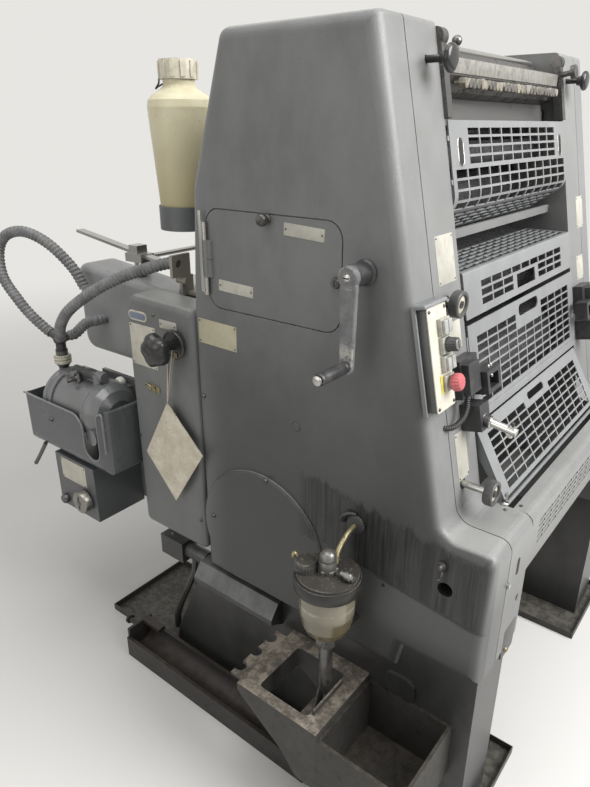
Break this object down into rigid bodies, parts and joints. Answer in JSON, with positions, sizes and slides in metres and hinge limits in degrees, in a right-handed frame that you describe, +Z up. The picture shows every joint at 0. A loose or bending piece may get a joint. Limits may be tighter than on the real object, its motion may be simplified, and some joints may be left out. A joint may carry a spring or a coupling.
{
  "type": "offset printing press",
  "caption": "Sheet-fed offset printing press with rounded grey side housings, sloping mesh guards, feeder arms with pump and hoses, and a drip pan.",
  "frame": {"origin": "floor level, under the middle of the press's bounding box without its free hoses", "axes": "+X along the press from feeder to delivery, +Y away from the operator's side, +Z up"},
  "size_m": [1.6117, 1.33, 1.718],
  "materials": {
    "housing_paint": "semi-gloss machine enamel, oil-stained",
    "frame_paint": "semi-gloss machine enamel",
    "base_paint": "worn enamel on cast iron",
    "guard_paint": "worn enamel sheet",
    "bare_steel": "bright machined",
    "dull_steel": "oily machined",
    "black_plastic": "black moulded",
    "cream_metal": "cream lacquer",
    "cream_plastic": "yellowed cream",
    "bottle_plastic": "yellowed translucent",
    "red_plastic": "faded red",
    "hose_plastic": "dusty grey spiral hose",
    "card": "stained card",
    "cast_worn": "worn paint and bare casting",
    "rusty_sheet": "oily rust",
    "lube_cap": "painted casting",
    "amber_glass": "oily amber",
    "valve_grey": "worn light enamel"
  },
  "bodies": {
    "press": {"near_side_cover": "housing_paint", "far_side_cover": "housing_paint", "near_side_frame": "frame_paint", "far_side_frame": "frame_paint", "near_feeder_cover": "housing_paint", "far_feeder_cover": "housing_paint", "door_hinge": "bare_steel", "drive_cover_disc": "housing_paint", "near_base": "base_paint", "far_base": "base_paint", "near_drip_pan": "rusty_sheet", "far_drip_pan": "rusty_sheet", "cross_beams": "frame_paint", "near_feed_arm": "housing_paint", "far_feed_arm": "housing_paint", "feed_table": "bare_steel", "feed_head_bar": "bare_steel", "hanging_card": "card", "pump_body": "dull_steel", "pump_shell": "housing_paint", "pump_valve_box": "base_paint", "pump_outlet": "cream_plastic", "loop_hose": "hose_plastic", "long_hose": "hose_plastic", "short_hose": "hose_plastic", "water_bottle": "bottle_plastic", "bottle_cap": "cream_plastic", "bottle_cup": "base_paint", "delivery_beam": "guard_paint", "upper_guard": "guard_paint", "shelf_guard": "guard_paint", "middle_guard": "guard_paint", "control_panel": "cream_metal", "panel_buttons": "cream_plastic", "guard_arms": "black_plastic", "ink_duct": "dull_steel", "ink_keys": "dull_steel", "press_cylinders": "dull_steel", "lubricator_head": "lube_cap", "lubricator_bowl": "amber_glass", "lubricator_stem": "dull_steel", "tool_box": "cast_worn", "parts_bin": "cast_worn", "washup_trough": "rusty_sheet", "drain_fitting": "dull_steel", "hose_clamp": "bare_steel", "duct_brackets": "dull_steel"},
    "door": {"access_door": "housing_paint"},
    "crank": {"hand_crank": "dull_steel"},
    "grip": {"crank_grip": "black_plastic"},
    "feeder_wheel": {"feeder_handwheel": "black_plastic"},
    "valve": {"valve_knob": "valve_grey"},
    "switch": {"panel_switch": "black_plastic"},
    "stop": {"emergency_stop": "red_plastic"},
    "upper_knob": {"upper_knob": "black_plastic"},
    "lower_knob": {"lower_knob": "black_plastic"},
    "lower_guard": {"lower_guard": "guard_paint"},
    "near_duct_knob": {"near_duct_knob": "black_plastic"},
    "far_duct_knob": {"far_duct_knob": "black_plastic"}
  },
  "joints": [
    {"name": "door_hinge", "type": "hinge", "parent": "press", "child": "door", "pos_m": [-0.0035, -0.472, 1.267], "axis": [0, 0, -1], "range_deg": [0, 110]},
    {"name": "crank_turn", "type": "hinge", "parent": "press", "child": "crank", "pos_m": [0.4115, -0.465, 1.29], "axis": [0, 1, 0], "continuous": true},
    {"name": "grip_turn", "type": "hinge", "parent": "crank", "child": "grip", "pos_m": [0.4115, -0.56, 1.12], "axis": [0, 1, 0], "continuous": true},
    {"name": "feeder_wheel_turn", "type": "hinge", "parent": "press", "child": "feeder_wheel", "pos_m": [-0.1305, -0.51, 1.04], "axis": [0, 1, 0], "continuous": true},
    {"name": "valve_turn", "type": "hinge", "parent": "press", "child": "valve", "pos_m": [-0.4795, -0.56, 0.5], "axis": [0, 1, 0], "continuous": true},
    {"name": "switch_turn", "type": "hinge", "parent": "press", "child": "switch", "pos_m": [0.55203, -0.408, 1.16477], "axis": [0.978, 0, 0.2084], "range_deg": [-45, 45]},
    {"name": "stop_press", "type": "slide", "parent": "press", "child": "stop", "axis": [-0.978, 0, -0.2084], "range_m": [0, 0.005], "stiffness_N_per_m": 1200},
    {"name": "upper_knob_turn", "type": "hinge", "parent": "press", "child": "upper_knob", "pos_m": [0.5315, -0.327, 1.222], "axis": [1, 0, 0], "continuous": true},
    {"name": "lower_knob_turn", "type": "hinge", "parent": "press", "child": "lower_knob", "pos_m": [0.6745, -0.34, 0.85], "axis": [1, 0, 0], "continuous": true},
    {"name": "near_duct_knob_turn", "type": "hinge", "parent": "press", "child": "near_duct_knob", "pos_m": [0.4425, -0.31, 1.65], "axis": [1, 0, 0], "continuous": true},
    {"name": "far_duct_knob_turn", "type": "hinge", "parent": "press", "child": "far_duct_knob", "pos_m": [0.4425, 0.49, 1.65], "axis": [1, 0, 0], "continuous": true},
    {"name": "lower_guard_hinge", "type": "hinge", "parent": "press", "child": "lower_guard", "pos_m": [0.6575, 0.09, 0.772], "axis": [0, 1, 0], "range_deg": [0, 55]}
  ]
}
